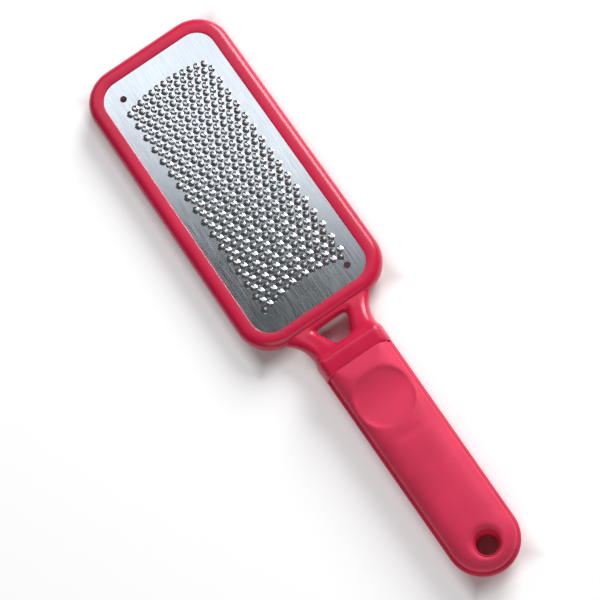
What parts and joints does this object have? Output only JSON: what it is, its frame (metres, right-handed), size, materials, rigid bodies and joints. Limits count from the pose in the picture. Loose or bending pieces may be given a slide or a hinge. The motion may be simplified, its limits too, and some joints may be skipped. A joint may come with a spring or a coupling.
{
  "type": "foot file",
  "caption": "Straight one-handed foot file: a pierced steel rasp plate in an open-backed plastic ring, on a soft-padded handle with a hanging hole.",
  "frame": {"origin": "middle of the tool's outline, at the level of the handle's back", "axes": "+Y along the tool from the handle's end to the head, +Z out of the rasp face, +X to the right seen from the rasp face with the head up"},
  "size_m": [0.064, 0.253, 0.017],
  "materials": {
    "frame_plastic": "glossy red moulded plastic",
    "plate_steel": "bright rolled stainless sheet",
    "soft_grip": "matt soft-touch"
  },
  "bodies": {
    "root": {"head_frame": "frame_plastic", "rasp_plate": "plate_steel", "front_grip_pad": "soft_grip", "back_grip_pad": "soft_grip"}
  },
  "joints": []
}
